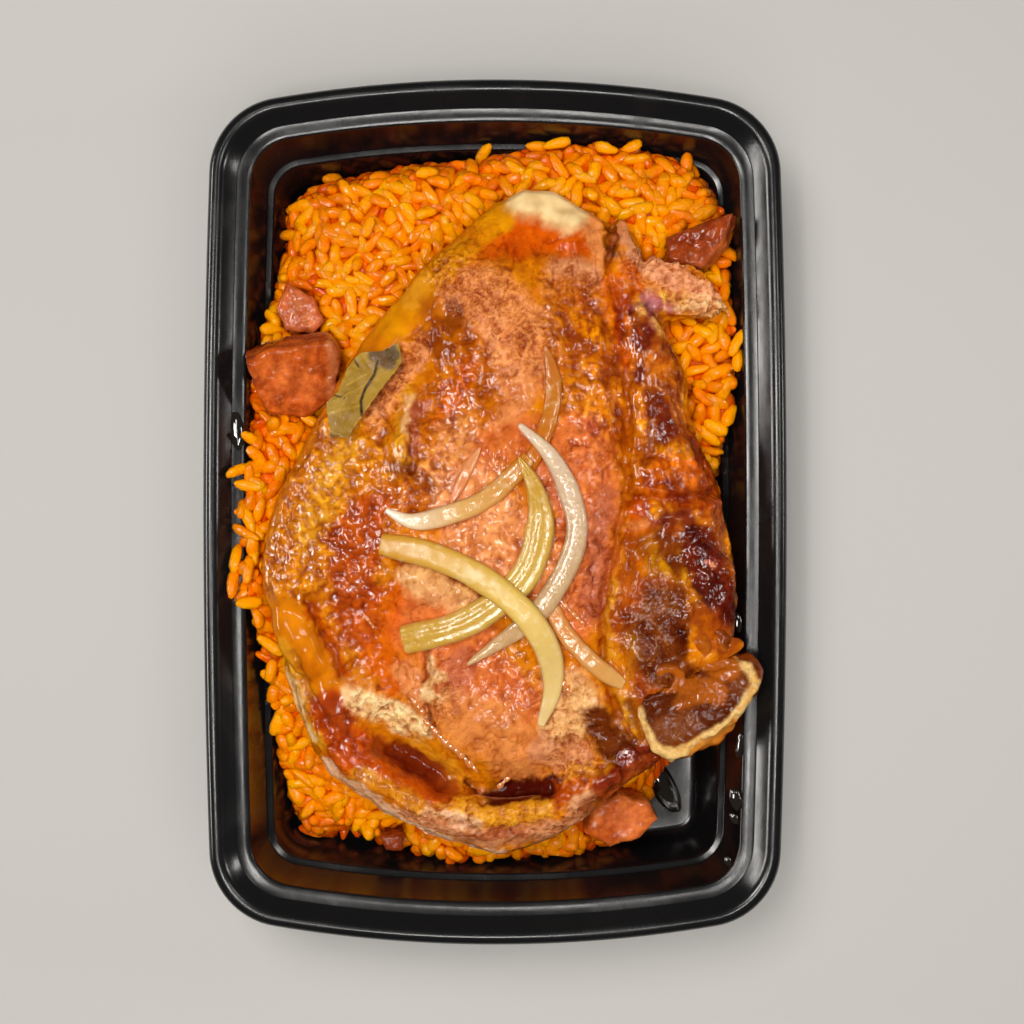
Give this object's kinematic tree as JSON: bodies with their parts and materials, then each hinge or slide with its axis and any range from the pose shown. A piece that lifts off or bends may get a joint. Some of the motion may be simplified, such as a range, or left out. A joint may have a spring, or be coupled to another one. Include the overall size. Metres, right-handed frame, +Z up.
{
  "type": "rice meal with pork chop in tray",
  "caption": "Black plastic meal tray filled with orange seasoned rice under a braised bone-in pork chop, with onion strips, a bay leaf piece and ham cubes.",
  "frame": {"origin": "middle of the tray's underside, on the surface it stands on", "axes": "+Z up, +Y along the tray towards the end where the rice is highest, +X towards the bone side of the chop"},
  "size_m": [0.1498, 0.222, 0.0534],
  "materials": {
    "tray": "black moulded polypropylene, satin gloss, with an oily sheen",
    "rice": "cooked rice, saturated orange, moist and slightly translucent",
    "chop": "braised pork, amber to red-brown, wet glaze over fat and lean",
    "bone": "sawn pork bone, pale rim round dark brown marrow",
    "onion": "soft cooked onion, translucent pale yellow, glossy",
    "leaf": "cooked bay leaf, dull olive brown, cracked",
    "ham": "cooked cured ham, pink to red-brown, moist"
  },
  "bodies": {
    "root": {"tray": "tray", "rice": "rice", "chop": "chop", "chop_bone": "bone", "onion_strip_1": "onion", "onion_strip_2": "onion", "onion_strip_3": "onion", "onion_strip_4": "onion", "onion_strip_5": "onion", "onion_strip_6": "onion", "onion_strip_7": "onion", "bay_leaf": "leaf", "ham_cube_1": "ham", "ham_cube_2": "ham", "ham_cube_3": "ham", "ham_cube_4": "ham", "ham_cube_5": "ham"}
  },
  "joints": []
}
